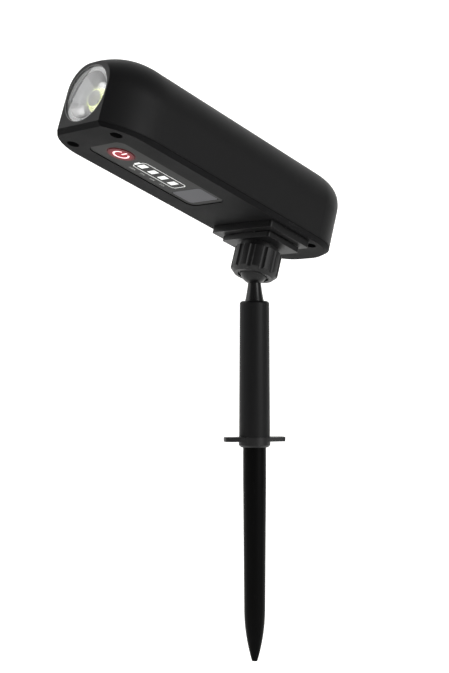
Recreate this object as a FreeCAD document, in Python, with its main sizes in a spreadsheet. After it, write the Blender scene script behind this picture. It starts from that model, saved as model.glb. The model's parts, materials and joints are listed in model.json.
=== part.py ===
import FreeCAD, Part
import math
import os
import re
import Sketcher

# Garden spike spotlight: a long arched lamp head on a slide rail, clamped by a fluted nut to a
# ball stud that stands in a round pole on a ground spike. Millimetres and degrees.
#
# Part frame: origin on the spike's axis at the underside of the ground flange, +Z up, +X the way
# the beam points, +Y the lamp's left side.
# Head frame: origin at the bottom centre of the flat front face, +X the beam, +Z square to the
# underside. The head frame is turned nose up about the ball by head_angle.

SIZES = {
    # lamp head, outside
    "head_length": 187.0,
    "head_width": 60.0,
    "head_height": 47.5,
    "arch_radius": 25.0,
    "nose_length": 31.2,
    "nose_plan_radius": 44.0,
    "nose_top_length": 26.0,
    "nose_top_radius": 44.0,
    "rear_plan_radius": 25.0,
    "rear_drop": 7.4,
    "head_angle": 17.7,
    # shell and base cover
    "shell_wall": 2.4,
    "front_wall": 5.0,
    "cover_floor": 2.5,
    "bevel_width": 2.6,
    "sole_front_inset": 1.6,
    "sole_front_half": 18.0,
    "sole_nose_length": 24.0,
    "bevel_height": 2.1,
    "seam": 0.3,
    "tongue_wall": 1.5,
    "tongue_height": 3.0,
    "fit_gap": 0.2,
    "running_gap": 0.05,
    # cover screws and their wells
    "well_radius": 3.4,
    "well_depth": 5.5,
    "tower_radius": 4.8,
    "tower_height": 5.0,
    "boss_radius": 3.5,
    "front_well_setback": 12.5,
    "front_well_spread": 18.0,
    "rear_well_inset": 21.0,
    "rear_well_spread": 20.0,
    "front_boss_top": 20.0,
    "cover_screw_shank": 1.45,
    "cover_screw_head": 2.75,
    "cover_screw_head_height": 2.0,
    "cover_screw_length": 9.5,
    # lens, emitter and heat sink
    "lens_height": 20.9,
    "lens_radius": 15.9,
    "lens_edge": 2.4,
    "lens_setback": 0.6,
    "lens_crown": 1.2,
    "lens_depth": 17.2,
    "lens_shoulder_radius": 13.4,
    "lens_tail_radius": 6.5,
    "emitter_well_radius": 4.2,
    "emitter_well_depth": 5.0,
    "lens_opening": 14.2,
    "seal_thickness": 0.6,
    "seal_width": 0.9,
    "bezel_wall": 0.35,
    "led_board_radius": 12.0,
    "led_board_thickness": 1.6,
    "emitter_radius": 2.6,
    "emitter_height": 0.8,
    "sink_setback": 20.0,
    "sink_plate": 3.0,
    "sink_width": 42.0,
    "sink_height": 22.0,
    "sink_low_side": 11.5,
    "fin_depth": 10.0,
    "fin_thickness": 1.6,
    "fin_pitch": 6.0,
    "fin_count": 5,
    "lug_inner_side": 15.5,
    "lug_width": 5.0,
    "sink_screw_shank": 1.2,
    "sink_screw_head": 2.4,
    "sink_screw_head_height": 1.8,
    "sink_screw_length": 8.0,
    # control panel, button and battery gauge
    "panel_setback": 19.0,
    "panel_length": 80.0,
    "panel_width": 28.0,
    "panel_corner": 5.0,
    "panel_recess": 1.8,
    "panel_thickness": 1.4,
    "button_setback": 31.6,
    "button_radius": 7.5,
    "button_cap_height": 0.8,
    "button_sink": 0.1,
    "button_stem_radius": 5.5,
    "button_lip_radius": 6.6,
    "button_lip_height": 0.8,
    "gauge_setback": 47.7,
    "gauge_pitch": 7.55,
    "gauge_bar_length": 3.0,
    "gauge_bar_width": 6.0,
    "guide_plate": 1.2,
    "guide_margin": 2.0,
    "guide_post_radius": 1.4,
    "gauge_led_size": 2.0,
    "gauge_led_height": 0.8,
    "flap_setback": 80.2,
    "flap_length": 15.6,
    "flap_width": 22.8,
    "flap_corner": 1.8,
    "flap_thickness": 1.4,
    "port_width": 9.0,
    "port_thickness": 3.3,
    "port_wall": 0.35,
    "port_tongue": 0.7,
    # circuit board and switch
    "board_setback": 25.0,
    "board_length": 80.0,
    "board_width": 40.0,
    "board_thickness": 1.6,
    "standoff_height": 5.0,
    "standoff_radius": 2.6,
    "standoff_edge": 3.5,
    "board_screw_shank": 1.0,
    "board_screw_head": 2.0,
    "board_screw_head_height": 1.3,
    "board_screw_length": 5.5,
    "switch_size": 7.0,
    "switch_height": 2.9,
    "plunger_radius": 1.7,
    "plunger_length": 2.2,
    "lead_radius": 0.6,
    "lead_spread": 3.0,
    # battery
    "cell_radius": 9.2,
    "cell_length": 65.2,
    "cell_spread": 9.9,
    "cell_setback": 45.5,
    "tray_low_side": 13.0,
    "tray_floor": 1.6,
    "tray_width": 42.0,
    "tray_side_height": 11.0,
    "tray_end_height": 19.0,
    "tray_end_wall": 1.6,
    "tray_leg_length": 6.0,
    "tray_leg_width": 3.5,
    "contact_thickness": 0.4,
    "contact_size": 8.0,
    "strap_width": 10.0,
    "strap_thickness": 1.0,
    # slide rail on the underside and the shoe that runs in it
    "rail_inset": 26.0,
    "rail_length": 34.0,
    "rail_width": 48.0,
    "rail_height": 4.0,
    "rail_end_wall": 4.5,
    "slot_head_width": 24.6,
    "slot_neck_width": 14.6,
    "slot_head_height": 2.5,
    "slide_gap": 0.3,
    "rail_screw_shank": 1.45,
    "rail_screw_head": 2.8,
    "rail_screw_head_height": 1.8,
    "rail_screw_bite": 3.0,
    "rail_screw_spread": 19.0,
    "rail_screw_inset": 6.0,
    "shoe_length": 27.0,
    "shoe_width": 38.0,
    "shoe_plate": 3.0,
    "shoe_gap": 0.5,
    "shoe_corner": 1.5,
    # ball joint
    "ball_drop": 22.3,
    "ball_radius": 8.5,
    "liner_thickness": 1.6,
    "liner_half_angle": 48.0,
    "cup_step_angle": 74.0,
    "socket_radius": 11.5,
    "socket_taper_start": 0.5,
    "lip_drop": 2.9,
    "lip_wall": 2.2,
    "finger_slot_width": 1.6,
    "finger_slot_top": 6.0,
    "finger_count": 4,
    "nut_radius": 14.0,
    "nut_rise": 11.5,
    "nut_drop": 3.8,
    "nut_chamfer": 2.5,
    "nut_mouth_radius": 9.3,
    "nut_seat_gap": 0.3,
    "flute_count": 12,
    "flute_radius": 2.6,
    "flute_depth": 0.9,
    "neck_top_radius": 3.8,
    "neck_foot_radius": 5.55,
    "neck_curve_radius": 100.0,
    "stud_shank_radius": 4.0,
    "stud_shank_length": 10.0,
    "clip_groove_depth": 0.7,
    "clip_thickness": 1.1,
    "clip_radius": 6.3,
    # pole, ground flange and spike
    "ball_height": 100.0,
    "pole_top_radius": 8.66,
    "pole_foot_radius": 9.04,
    "pole_height": 81.8,
    "pole_wall": 2.2,
    "pole_top_wall": 4.0,
    "pole_shoulder": 1.6,
    "flange_thickness": 2.6,
    "flange_span": 36.0,
    "flange_root_width": 15.0,
    "flange_tip_width": 9.0,
    "flange_tip_radius": 2.5,
    "flange_turn": -31.5,
    "hub_radius": 9.2,
    "hub_spigot_radius": 6.5,
    "hub_spigot_height": 12.0,
    "collar_height": 3.3,
    "collar_chamfer": 1.2,
    "spike_radius": 6.75,
    "spike_parallel": 20.0,
    "spike_waist_radius": 6.15,
    "spike_waist_depth": 97.0,
    "spike_depth": 127.0,
    "spike_tip_radius": 1.6,
    "spike_ogive_radius": 105.0,
    "spike_spigot_radius": 4.8,
    "spike_spigot_height": 12.0,
}

doc = FreeCAD.newDocument("garden_spike_spotlight")
sheet = doc.addObject("Spreadsheet::Sheet", "Sizes")
for row, (alias, number) in enumerate(SIZES.items(), 1):
    sheet.set(f"A{row}", alias)
    sheet.set(f"B{row}", str(number))
    sheet.setAlias(f"B{row}", alias)
doc.recompute()

ALIAS = re.compile(r"(?<![.\w])(" + "|".join(sorted(SIZES, key=len, reverse=True)) + r")(?!\w)")
parts = []


def bound(expression):
    """The expression with every size's name pointed at its cell."""
    return ALIAS.sub(r"Sizes.\1", str(expression))


def value(expression):
    """What an expression of sizes comes to now."""
    result = sheet.evalExpression(bound(expression))
    return float(getattr(result, "Value", result))


def minus(expression):
    return f"-({expression})"


# ------------------------------------------------------------------ sketches and features
def new_body(label):
    body = doc.addObject("PartDesign::Body", label)
    body.Label = label
    return body


def new_sketch(body, role, offset="0", shift_x="0", shift_y="0"):
    """A sketch on one of the body's own planes, moved along the plane's normal by offset."""
    sketch = body.newObject("Sketcher::SketchObject", body.Label + "_sketch")
    plane = next(item for item in body.Origin.OriginFeatures if item.Role == role)
    sketch.AttachmentSupport = (plane, [""])
    sketch.MapMode = "FlatFace"
    sketch.setExpression(".AttachmentOffset.Base.x", bound(shift_x))
    sketch.setExpression(".AttachmentOffset.Base.y", bound(shift_y))
    sketch.setExpression(".AttachmentOffset.Base.z", bound(offset))
    return sketch


def pin_point(sketch, edge, end, x, y):
    for kind, coordinate in (("DistanceX", x), ("DistanceY", y)):
        index = sketch.addConstraint(Sketcher.Constraint(kind, -1, 1, edge, end, value(coordinate)))
        sketch.setExpression(f"Constraints[{index}]", bound(coordinate))


def draw_outline(sketch, corners):
    """A closed outline, anticlockwise. A corner is (x, y), or (x, y, radius) where an arc leads on
    to the next corner: a radius in a "hollow:" string curves inwards, any other outwards."""
    points = [FreeCAD.Vector(value(c[0]), value(c[1]), 0) for c in corners]
    first = sketch.GeometryCount
    count = len(corners)
    ends = []
    for index, corner in enumerate(corners):
        start, stop = points[index], points[(index + 1) % count]
        if len(corner) == 2:
            sketch.addGeometry(Part.LineSegment(start, stop), False)
            ends.append((1, 2))
            continue
        hollow = str(corner[2]).startswith("hollow:")
        expression = str(corner[2]).replace("hollow:", "")
        radius = value(expression)
        chord = stop - start
        left = FreeCAD.Vector(-chord.y, chord.x, 0).normalize()
        rise = math.sqrt(max(radius**2 - (chord.Length / 2) ** 2, 0.0))
        centre = start + chord * 0.5 + left * (-rise if hollow else rise)
        tail, head = (stop, start) if hollow else (start, stop)
        angles = [math.atan2(p.y - centre.y, p.x - centre.x) for p in (tail, head)]
        circle = Part.Circle(centre, FreeCAD.Vector(0, 0, 1), radius)
        edge = sketch.addGeometry(Part.ArcOfCircle(circle, *angles), False)
        ends.append((2, 1) if hollow else (1, 2))
        bend = sketch.addConstraint(Sketcher.Constraint("Radius", edge, radius))
        sketch.setExpression(f"Constraints[{bend}]", bound(expression))
    for index in range(count):
        following = (index + 1) % count
        sketch.addConstraint(Sketcher.Constraint(
            "Coincident", first + index, ends[index][1], first + following, ends[following][0]))
        pin_point(sketch, first + index, ends[index][0], *corners[index][:2])


def draw_circle(sketch, x, y, radius):
    centre = FreeCAD.Vector(value(x), value(y), 0)
    edge = sketch.addGeometry(Part.Circle(centre, FreeCAD.Vector(0, 0, 1), value(radius)), False)
    bend = sketch.addConstraint(Sketcher.Constraint("Radius", edge, value(radius)))
    sketch.setExpression(f"Constraints[{bend}]", bound(radius))
    pin_point(sketch, edge, 3, x, y)


def rectangle(x_low, x_high, y_low, y_high):
    return [(x_low, y_low), (x_high, y_low), (x_high, y_high), (x_low, y_high)]


def rounded(x_low, x_high, y_low, y_high, radius):
    """A rectangle with rounded corners."""
    return [
        (f"{x_low} + {radius}", y_low), (f"{x_high} - {radius}", y_low, radius),
        (x_high, f"{y_low} + {radius}"), (x_high, f"{y_high} - {radius}", radius),
        (f"{x_high} - {radius}", y_high), (f"{x_low} + {radius}", y_high, radius),
        (x_low, f"{y_high} - {radius}"), (x_low, f"{y_low} + {radius}", radius),
    ]


def extrude(body, sketch, length, cut=False, backwards=False):
    """A pad, or with cut a pocket, along the sketch's normal, or against it when backwards."""
    kind = "PartDesign::Pocket" if cut else "PartDesign::Pad"
    feature = body.newObject(kind, body.Label + ("_pocket" if cut else "_pad"))
    feature.Profile = sketch
    feature.setExpression("Length", bound(length))
    # A pocket's own direction is against the normal.
    feature.Reversed = backwards != cut
    return feature


def revolve(body, sketch, axis, cut=False):
    kind = "PartDesign::Groove" if cut else "PartDesign::Revolution"
    feature = body.newObject(kind, body.Label + ("_groove" if cut else "_revolution"))
    feature.Profile = sketch
    feature.ReferenceAxis = (sketch, [axis])
    feature.Angle = 360
    return feature


def loft(body, sections, cut=False, ruled=False):
    kind = "PartDesign::SubtractiveLoft" if cut else "PartDesign::AdditiveLoft"
    feature = body.newObject(kind, body.Label + "_loft")
    feature.Profile = sections[0]
    feature.Sections = sections[1:]
    feature.Ruled = ruled
    return feature


def repeat_round(body, feature, count, role="Z_Axis"):
    pattern = body.newObject("PartDesign::PolarPattern", body.Label + "_pattern")
    axis = next(item for item in body.Origin.OriginFeatures if item.Role == role)
    pattern.Axis = (axis, [""])
    pattern.Originals = [feature]
    pattern.Angle = 360
    pattern.setExpression("Occurrences", bound(count))
    body.Tip = pattern
    return pattern


# ------------------------------------------------------------------ primitives and booleans
def place(solid, x, y, z):
    for letter, expression in zip("xyz", (x, y, z)):
        solid.setExpression(f".Placement.Base.{letter}", bound(expression))


def box(x_low, x_high, y_low, y_high, z_low, z_high):
    solid = doc.addObject("Part::Box", "block")
    solid.setExpression("Length", bound(f"({x_high}) - ({x_low})"))
    solid.setExpression("Width", bound(f"({y_high}) - ({y_low})"))
    solid.setExpression("Height", bound(f"({z_high}) - ({z_low})"))
    place(solid, x_low, y_low, z_low)
    return solid


AXIS_TURN = {
    "X": FreeCAD.Rotation(FreeCAD.Vector(0, 1, 0), 90),
    "Z": FreeCAD.Rotation(),
}


def rod(axis, radius, length, x, y, z):
    """A round bar from the point (x, y, z) along +X or +Z."""
    solid = doc.addObject("Part::Cylinder", "rod")
    solid.Placement = FreeCAD.Placement(FreeCAD.Vector(), AXIS_TURN[axis])
    solid.setExpression("Radius", bound(radius))
    solid.setExpression("Height", bound(length))
    place(solid, x, y, z)
    return solid


def join(solids, label="joined"):
    fused = doc.addObject("Part::MultiFuse", label)
    fused.Shapes = solids
    fused.Label = label
    return fused


def cut(base, tools, label="cut"):
    result = doc.addObject("Part::Cut", label)
    result.Base = base
    result.Tool = tools[0] if len(tools) == 1 else join(tools)
    result.Label = label
    return result


def group(solids, label):
    gathered = doc.addObject("Part::Compound", label)
    gathered.Links = solids
    gathered.Label = label
    return gathered


def headed(axis, shank, head, x, y, z):
    """A screw's two rods. shank and head are each (radius, length, start along the axis)."""
    rods = []
    for radius, length, start in (shank, head):
        along_x = f"({x}) + ({start})" if axis == "X" else x
        along_z = f"({z}) + ({start})" if axis == "Z" else z
        rods.append(rod(axis, radius, length, along_x, y, along_z))
    return join(rods)


# The ball hangs under the middle of the shoe, which rests at the front end of its slot.
BALL_SETBACK = "(head_length - rail_inset - rail_length + rail_end_wall + slide_gap + shoe_length / 2)"


def finish(solid, label, frame="part"):
    """Names a sub-part and turns it from the frame it was drawn in to its place."""
    tilt = FreeCAD.Rotation(FreeCAD.Vector(0, 1, 0), -value("head_angle"))
    ball = FreeCAD.Vector(0, 0, value("ball_height"))
    drawn_ball = FreeCAD.Vector(value(minus(BALL_SETBACK)), 0, value("-ball_drop"))
    places = {
        "part": FreeCAD.Placement(),
        "socket": FreeCAD.Placement(ball, tilt),
        "head": FreeCAD.Placement(ball - tilt.multVec(drawn_ball), tilt),
        "flange": FreeCAD.Placement(
            FreeCAD.Vector(), FreeCAD.Rotation(FreeCAD.Vector(0, 0, 1), value("flange_turn"))),
    }
    solid.Label = label
    solid.Placement = places[frame]
    parts.append(solid)


# ------------------------------------------------------------------ the head's outer form
REAR_START = "(head_length - rear_plan_radius)"
REAR_FLAT = "(head_width / 2 - rear_plan_radius)"
SHELL_FOOT = "(cover_floor + seam)"
NOSE_STATIONS = (0.0, 0.12, 0.28, 0.48, 0.72, 1.0)
REAR_ANGLES = (0, 20, 38, 54, 67, 77, 84, 90)


def plan_outline(inset):
    """The head seen from below, drawn in by inset: flat front, long nose arcs, straight sides and
    two large rear corners."""
    inset = f"({inset})"
    half = f"head_width / 2 - {inset}"
    front = (f"head_width / 2 - nose_plan_radius"
             f" + sqrt((nose_plan_radius - {inset}) ^ 2 - (nose_length - {inset}) ^ 2)")
    nose = f"nose_plan_radius - {inset}"
    corner = f"rear_plan_radius - {inset}"
    rear = f"{inset} - head_length"
    return [
        (minus(inset), minus(front)), (minus(inset), front, nose),
        ("-nose_length", half), (minus(REAR_START), half, corner),
        (rear, REAR_FLAT), (rear, minus(REAR_FLAT), corner),
        (minus(REAR_START), minus(half)), ("-nose_length", minus(half), nose),
    ]


def sole_outline():
    """The flat underside: the plan drawn in by the bevel, with its own fuller nose arcs."""
    half = "(head_width / 2 - bevel_width)"
    drop = f"({half} - sole_front_half)"
    nose = f"((sole_nose_length - sole_front_inset) ^ 2 + {drop} ^ 2) / (2 * {drop})"
    return [
        ("-sole_front_inset", "-sole_front_half"), ("-sole_front_inset", "sole_front_half", nose),
        ("-sole_nose_length", half), *plan_outline("bevel_width")[3:7],
        ("-sole_nose_length", minus(half), nose),
    ]


def arch_section(body, setback, half, height, foot):
    """One arched cross-section of the head, a setback behind the front face."""
    sketch = new_sketch(body, "YZ_Plane", minus(setback))
    radius = f"({half}) * 2 * arch_radius / head_width"
    flat = f"({half}) - {radius}"
    draw_outline(sketch, [
        (minus(half), foot), (half, foot), (half, f"({height}) - {radius}", radius),
        (flat, height), (minus(flat), height, radius), (minus(half), f"({height}) - {radius}"),
    ])
    return sketch


def nose_section(body, share, start, inset, foot):
    """The nose, where the plan and the top both follow their own arcs."""
    setback = f"({start} + {share} * (nose_length - {start}))"
    side, top = f"nose_length - {setback}", f"max(nose_top_length - {setback}; 0)"
    half = f"head_width / 2 - nose_plan_radius + sqrt((nose_plan_radius - {inset}) ^ 2 - ({side}) ^ 2)"
    height = f"head_height - nose_top_radius + sqrt((nose_top_radius - {inset}) ^ 2 - {top} ^ 2)"
    return arch_section(body, setback, half, height, foot)


def rear_section(body, angle, inset, foot):
    """The rear, where the plan closes round a corner and the top falls away."""
    across, along = (f"{turn(math.radians(angle)):.6f}" for turn in (math.cos, math.sin))
    setback = f"({REAR_START} + (rear_plan_radius - {inset}) * {along})"
    half = f"{REAR_FLAT} + (rear_plan_radius - {inset}) * {across}"
    height = f"head_height - {inset} - rear_drop * (1 - {across})"
    return arch_section(body, setback, half, height, foot)


def arched_form(body, start, inset, foot, cut=False):
    nose = [nose_section(body, share, start, inset, foot) for share in NOSE_STATIONS]
    loft(body, nose, cut)
    middle = nose_section(body, 1.0, start, inset, foot)
    extrude(body, middle, f"{REAR_START} - nose_length", cut, backwards=True)
    rear = [rear_section(body, angle, inset, foot) for angle in REAR_ANGLES]
    loft(body, rear, cut)


RAIL_REAR = "(head_length - rail_inset)"
RAIL_FRONT = "(head_length - rail_inset - rail_length)"
WELLS = [
    (x, f"{side}{end}_well_spread")
    for end, x in (("front", "-front_well_setback"), ("rear", "rear_well_inset - head_length"))
    for side in ("", "-")
]
RAIL_SCREWS = [
    (minus(f"{RAIL_FRONT} + {inset}"), f"{side}rail_screw_spread")
    for inset in ("rail_screw_inset", "rail_length - rail_screw_inset") for side in ("", "-")
]
BOARD_SCREWS = [
    (minus(f"board_setback + {inset}"), f"{side}(board_width / 2 - standoff_edge)")
    for inset in ("standoff_edge", "board_length - standoff_edge") for side in ("", "-")
]
BARS = [f"-gauge_setback - {index} * gauge_pitch" for index in range(4)]
BOARD_FACE = "(cover_floor + standoff_height)"
BOARD_TOP = "(cover_floor + standoff_height + board_thickness)"
LUG_MIDDLE = "(lug_inner_side + lug_width / 2)"


# ------------------------------------------------------------------ shell and cover
def upper_shell():
    body = new_body("upper_shell")
    arched_form(body, "0", "0", SHELL_FOOT)
    arched_form(body, "front_wall", "shell_wall", "cover_floor", cut=True)

    mouth = new_sketch(body, "YZ_Plane")
    draw_circle(mouth, "0", "lens_height", "lens_radius + bezel_wall + 2 * running_gap")
    extrude(body, mouth, "lens_setback + lens_edge + seal_thickness", cut=True, backwards=True)
    throat = new_sketch(body, "YZ_Plane")
    draw_circle(throat, "0", "lens_height", "lens_opening")
    extrude(body, throat, "front_wall + shell_wall", cut=True, backwards=True)

    # Lugs behind the front wall carry the heat sink.
    lugs = new_sketch(body, "YZ_Plane", "seam - front_wall")
    for side in (rectangle("lug_inner_side", "lug_inner_side + lug_width",
                           "lens_height - lug_width / 2", "lens_height + lug_width / 2"),
                 rectangle("-lug_inner_side - lug_width", "-lug_inner_side",
                           "lens_height - lug_width / 2", "lens_height + lug_width / 2")):
        draw_outline(lugs, side)
    extrude(body, lugs, "sink_setback - front_wall + seam", backwards=True)

    # Screw bosses: the front pair grows from the side walls, the rear pair from the roof.
    foot = "cover_floor + tower_height + fit_gap"
    for wells, top in ((WELLS[:2], "front_boss_top"), (WELLS[2:], "head_height - boss_radius * 2.6")):
        bosses = new_sketch(body, "XY_Plane", foot)
        for x, y in wells:
            draw_circle(bosses, x, y, "boss_radius")
        extrude(body, bosses, f"{top} - ({foot})")
    web = new_sketch(body, "XY_Plane", foot)
    for side in ("", "-"):
        low, high = sorted((f"{side}front_well_spread", f"{side}(front_well_spread + tower_radius)"),
                           key=value)
        draw_outline(web, rectangle("-front_well_setback - boss_radius / 2",
                                    "-front_well_setback + boss_radius / 2", low, high))
    extrude(body, web, f"front_boss_top - ({foot})")
    bores = new_sketch(body, "XY_Plane", foot)
    for x, y in WELLS:
        draw_circle(bores, x, y, "cover_screw_shank + running_gap")
    extrude(body, bores, "cover_screw_length", cut=True)
    lug_bores = new_sketch(body, "YZ_Plane", "-sink_setback")
    for side in ("", "-"):
        draw_circle(lug_bores, f"{side}{LUG_MIDDLE}", "lens_height", "sink_screw_shank + running_gap")
    extrude(body, lug_bores, "sink_screw_length", cut=True)
    finish(body, "upper_shell", "head")


def base_cover():
    body = new_body("base_cover")
    flat = new_sketch(body, "XY_Plane")
    draw_outline(flat, sole_outline())
    brim = new_sketch(body, "XY_Plane", "bevel_height")
    draw_outline(brim, plan_outline("0"))
    loft(body, [flat, brim], ruled=True)
    plate = new_sketch(body, "XY_Plane", "bevel_height")
    draw_outline(plate, plan_outline("0"))
    extrude(body, plate, "cover_floor - bevel_height")

    # A tongue stands inside the shell's wall and locates it.
    tongue = new_sketch(body, "XY_Plane", "cover_floor")
    draw_outline(tongue, plan_outline("shell_wall + fit_gap"))
    draw_outline(tongue, plan_outline("shell_wall + fit_gap + tongue_wall"))
    extrude(body, tongue, "tongue_height")
    towers = new_sketch(body, "XY_Plane", "cover_floor")
    for x, y in WELLS:
        draw_circle(towers, x, y, "tower_radius")
    extrude(body, towers, "tower_height")
    # Both are cleared away where the shell's side and front walls stand.
    edge = new_sketch(body, "XY_Plane", "cover_floor")
    draw_outline(edge, plan_outline("-seam"))
    draw_outline(edge, plan_outline("shell_wall + fit_gap"))
    extrude(body, edge, "tower_height + seam", cut=True)
    face = new_sketch(body, "XY_Plane", "cover_floor")
    draw_outline(face, rectangle("-front_wall - fit_gap", "seam", "-head_width / 2", "head_width / 2"))
    extrude(body, face, "tower_height + seam", cut=True)

    standoffs = new_sketch(body, "XY_Plane", "cover_floor")
    for x, y in BOARD_SCREWS:
        draw_circle(standoffs, x, y, "standoff_radius")
    extrude(body, standoffs, "standoff_height")

    wells = new_sketch(body, "XY_Plane")
    for x, y in WELLS:
        draw_circle(wells, x, y, "well_radius")
    extrude(body, wells, "well_depth", cut=True)
    shanks = new_sketch(body, "XY_Plane")
    for x, y in WELLS:
        draw_circle(shanks, x, y, "cover_screw_shank + fit_gap")
    for x, y in RAIL_SCREWS:
        draw_circle(shanks, x, y, "rail_screw_shank + fit_gap")
    extrude(body, shanks, "cover_floor + tower_height", cut=True)
    bores = new_sketch(body, "XY_Plane", BOARD_FACE)
    for x, y in BOARD_SCREWS:
        draw_circle(bores, x, y, "board_screw_shank + running_gap")
    extrude(body, bores, "board_screw_length - board_thickness + fit_gap", cut=True, backwards=True)

    recess = new_sketch(body, "XY_Plane")
    draw_outline(recess, rounded(
        "-panel_setback - panel_length - slide_gap", "-panel_setback + slide_gap",
        "-panel_width / 2 - slide_gap", "panel_width / 2 + slide_gap", "panel_corner"))
    extrude(body, recess, "panel_recess", cut=True)
    windows = new_sketch(body, "XY_Plane")
    draw_circle(windows, "-button_setback", "0", "button_stem_radius + slide_gap")
    for bar in BARS:
        draw_outline(windows, rectangle(
            f"{bar} - gauge_bar_length / 2 - fit_gap", f"{bar} + gauge_bar_length / 2 + fit_gap",
            "-gauge_bar_width / 2 - fit_gap", "gauge_bar_width / 2 + fit_gap"))
    draw_outline(windows, rounded(
        "-flap_setback - flap_length / 2 - port_thickness / 2 - fit_gap",
        "-flap_setback - flap_length / 2 + port_thickness / 2 + fit_gap",
        "-port_width / 2 - fit_gap", "port_width / 2 + fit_gap", "fit_gap"))
    extrude(body, windows, "cover_floor + fit_gap", cut=True)
    finish(body, "base_cover", "head")


def cover_gasket():
    body = new_body("cover_gasket")
    ring = new_sketch(body, "XY_Plane", "cover_floor")
    draw_outline(ring, plan_outline("seam"))
    draw_outline(ring, plan_outline("shell_wall"))
    extrude(body, ring, "seam")
    finish(body, "cover_gasket", "head")


def cover_screws():
    screws = [headed("Z", ("cover_screw_shank", "cover_screw_length", "0"),
                     ("cover_screw_head", "cover_screw_head_height", "-cover_screw_head_height"),
                     x, y, "well_depth") for x, y in WELLS]
    finish(group(screws, "cover_screws"), "cover_screws", "head")


# ------------------------------------------------------------------ lens, emitter, heat sink
def turned_about_beam(label, outlines):
    """A piece turned about the lens's axis. An outline's points are (x, radius)."""
    body = new_body(label)
    sketch = new_sketch(body, "XZ_Plane", shift_y="lens_height")
    draw_outline(sketch, outlines)
    revolve(body, sketch, "H_Axis")
    finish(body, label, "head")


def lens_group():
    rim = "-lens_setback"
    back = "-lens_setback - lens_edge"
    floor = "-lens_depth + emitter_well_depth"
    turned_about_beam("lens_optic", [
        (floor, "0"),
        ("lens_crown - lens_setback", "0", "(lens_radius ^ 2 + lens_crown ^ 2) / (2 * lens_crown)"),
        (rim, "lens_radius"), (back, "lens_radius"), (back, "lens_shoulder_radius"),
        ("-lens_depth", "lens_tail_radius"), ("-lens_depth", "emitter_well_radius"),
        (floor, "emitter_well_radius"),
    ])
    ledge = f"{back} - seal_thickness"
    turned_about_beam("lens_seal", rectangle(ledge, back, "lens_radius - seal_width", "lens_radius"))
    turned_about_beam("lens_bezel", rectangle(
        ledge, "0", "lens_radius + running_gap", "lens_radius + running_gap + bezel_wall"))
    board = "-sink_setback + led_board_thickness"
    for label, radius, thickness, start in (
            ("led_board", "led_board_radius", "led_board_thickness", "-sink_setback"),
            ("led_emitter", "emitter_radius", "emitter_height", board)):
        finish(group([rod("X", radius, thickness, start, "0", "lens_height")], label), label, "head")


def heat_sink():
    top = "sink_low_side + sink_height"
    plate = box("-sink_setback - sink_plate", "-sink_setback", "-sink_width / 2", "sink_width / 2",
                "sink_low_side", top)
    holes = [rod("X", "sink_screw_shank + fit_gap", "2 * sink_plate", "-sink_setback - 1.5 * sink_plate",
                 f"{side}{LUG_MIDDLE}", "lens_height") for side in ("", "-")]
    fins = []
    for index in range(int(value("fin_count"))):
        middle = f"({index} - (fin_count - 1) / 2) * fin_pitch"
        fins.append(box("-sink_setback - sink_plate - fin_depth", "-sink_setback - sink_plate / 2",
                        f"{middle} - fin_thickness / 2", f"{middle} + fin_thickness / 2",
                        "sink_low_side", top))
    finish(join([cut(plate, holes)] + fins, "heat_sink"), "heat_sink", "head")
    screws = [headed("X", ("sink_screw_shank", "sink_screw_length", "0"),
                     ("sink_screw_head", "sink_screw_head_height", "-sink_screw_head_height"),
                     "-sink_setback - sink_plate", f"{side}{LUG_MIDDLE}", "lens_height")
              for side in ("", "-")]
    finish(group(screws, "heat_sink_screws"), "heat_sink_screws", "head")
    reach = "sink_plate + lead_spread * 2"
    leads = [rod("X", "lead_radius", reach, f"-sink_setback - {reach}",
                 f"{side}lead_spread", f"{BOARD_TOP} + lead_radius + running_gap") for side in ("", "-")]
    finish(group(leads, "led_leads"), "led_leads", "head")


# ------------------------------------------------------------------ controls on the underside
def control_panel():
    body = new_body("control_panel")
    plate = new_sketch(body, "XY_Plane", "panel_recess - panel_thickness")
    draw_outline(plate, rounded("-panel_setback - panel_length", "-panel_setback",
                                "-panel_width / 2", "panel_width / 2", "panel_corner"))
    draw_circle(plate, "-button_setback", "0", "button_radius + slide_gap")
    draw_outline(plate, rounded("-flap_setback - flap_length - slide_gap", "-flap_setback + slide_gap",
                                "-flap_width / 2 - slide_gap", "flap_width / 2 + slide_gap",
                                "flap_corner"))
    extrude(body, plate, "panel_thickness")
    finish(body, "control_panel", "head")


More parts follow.
